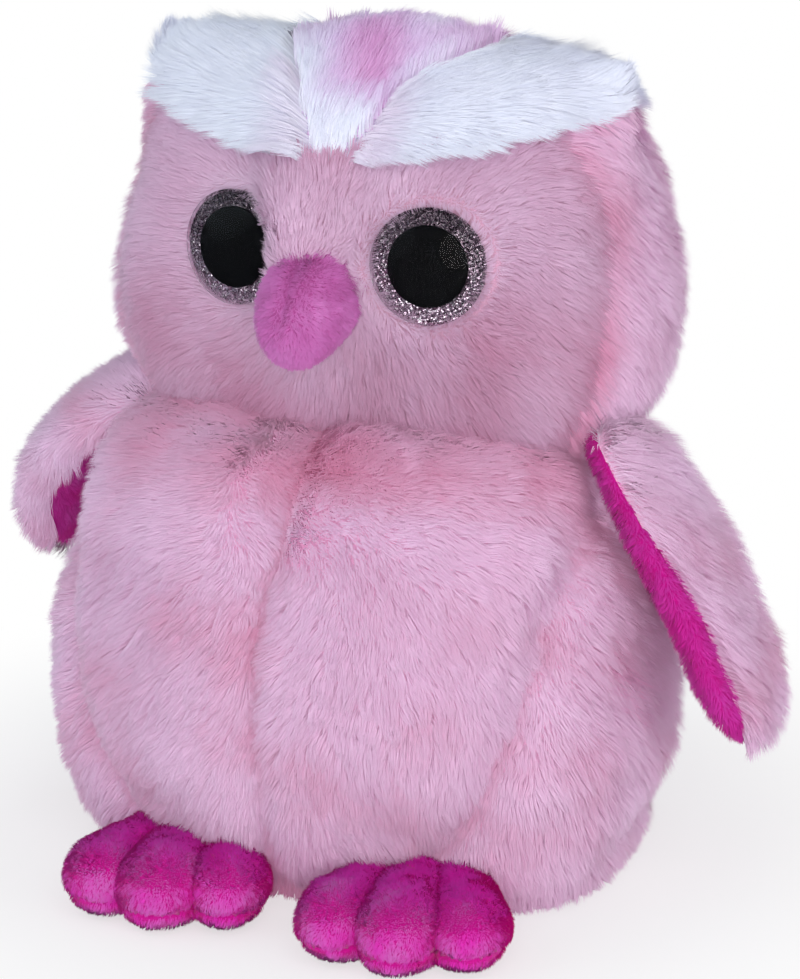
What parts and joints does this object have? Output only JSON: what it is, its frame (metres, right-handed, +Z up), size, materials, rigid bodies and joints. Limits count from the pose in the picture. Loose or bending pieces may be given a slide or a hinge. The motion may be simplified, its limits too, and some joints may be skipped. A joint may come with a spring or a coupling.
{
  "type": "plush owl",
  "caption": "Sitting stuffed toy owl with a flat base, glitter safety eyes, a soft beak, long-pile brows and two hanging wings that lift.",
  "frame": {"origin": "on the flat underside, below the middle of the body's base", "axes": "+Z up; the owl faces -Y; its left side is at +X"},
  "size_m": [0.2432, 0.1616, 0.2251],
  "materials": {
    "pale_plush": "soft pile of about 9 mm",
    "face_plush": "soft pile of about 7 mm, deeper pink",
    "crown_plush": "soft pile, lilac pink",
    "white_plush": "long silky white pile of about 18 mm",
    "magenta_plush": "short velvet pile of about 2 mm",
    "beak_plush": "short velvet pile of about 2 mm",
    "polyester_fibre": "loose fibre filling",
    "pouch_cloth": "thin woven cloth",
    "clear_plastic": "polished clear plastic",
    "black_plastic": "gloss black",
    "glitter_film": "pink and silver glitter",
    "cup_plastic": "satin black",
    "washer_plastic": "satin white"
  },
  "bodies": {
    "owl": {"body_tummy_left": "pale_plush", "body_tummy_right": "pale_plush", "body_back_left": "pale_plush", "body_back_right": "pale_plush", "body_base": "pale_plush", "body_filling": "polyester_fibre", "pellet_pouch": "pouch_cloth", "head_face": "face_plush", "head_back_left": "pale_plush", "head_back_right": "pale_plush", "head_crown": "crown_plush", "brow_left": "white_plush", "brow_right": "white_plush", "head_filling": "polyester_fibre", "beak_cover": "beak_plush", "beak_filling": "polyester_fibre", "eye_left_lens": "clear_plastic", "eye_left_pupil": "black_plastic", "eye_left_glitter": "glitter_film", "eye_left_cup": "cup_plastic", "eye_left_washer": "washer_plastic", "foot_left_upper": "magenta_plush", "foot_left_sole": "magenta_plush", "foot_left_filling": "polyester_fibre", "eye_right_lens": "clear_plastic", "eye_right_pupil": "black_plastic", "eye_right_glitter": "glitter_film", "eye_right_cup": "cup_plastic", "eye_right_washer": "washer_plastic", "foot_right_upper": "magenta_plush", "foot_right_sole": "magenta_plush", "foot_right_filling": "polyester_fibre"},
    "wing_left": {"wing_left_outer": "pale_plush", "wing_left_lining": "magenta_plush", "wing_left_filling": "polyester_fibre"},
    "wing_right": {"wing_right_outer": "pale_plush", "wing_right_lining": "magenta_plush", "wing_right_filling": "polyester_fibre"}
  },
  "joints": [
    {"name": "wing_left_lift", "type": "hinge", "parent": "owl", "child": "wing_left", "pos_m": [0.06684, -0.01, 0.11551], "axis": [0.0349, -0.9994, 0], "range_deg": [0, 45]},
    {"name": "wing_right_lift", "type": "hinge", "parent": "owl", "child": "wing_right", "pos_m": [-0.06684, -0.01, 0.11551], "axis": [0.6293, 0.7771, 0], "range_deg": [-3, 28]}
  ]
}
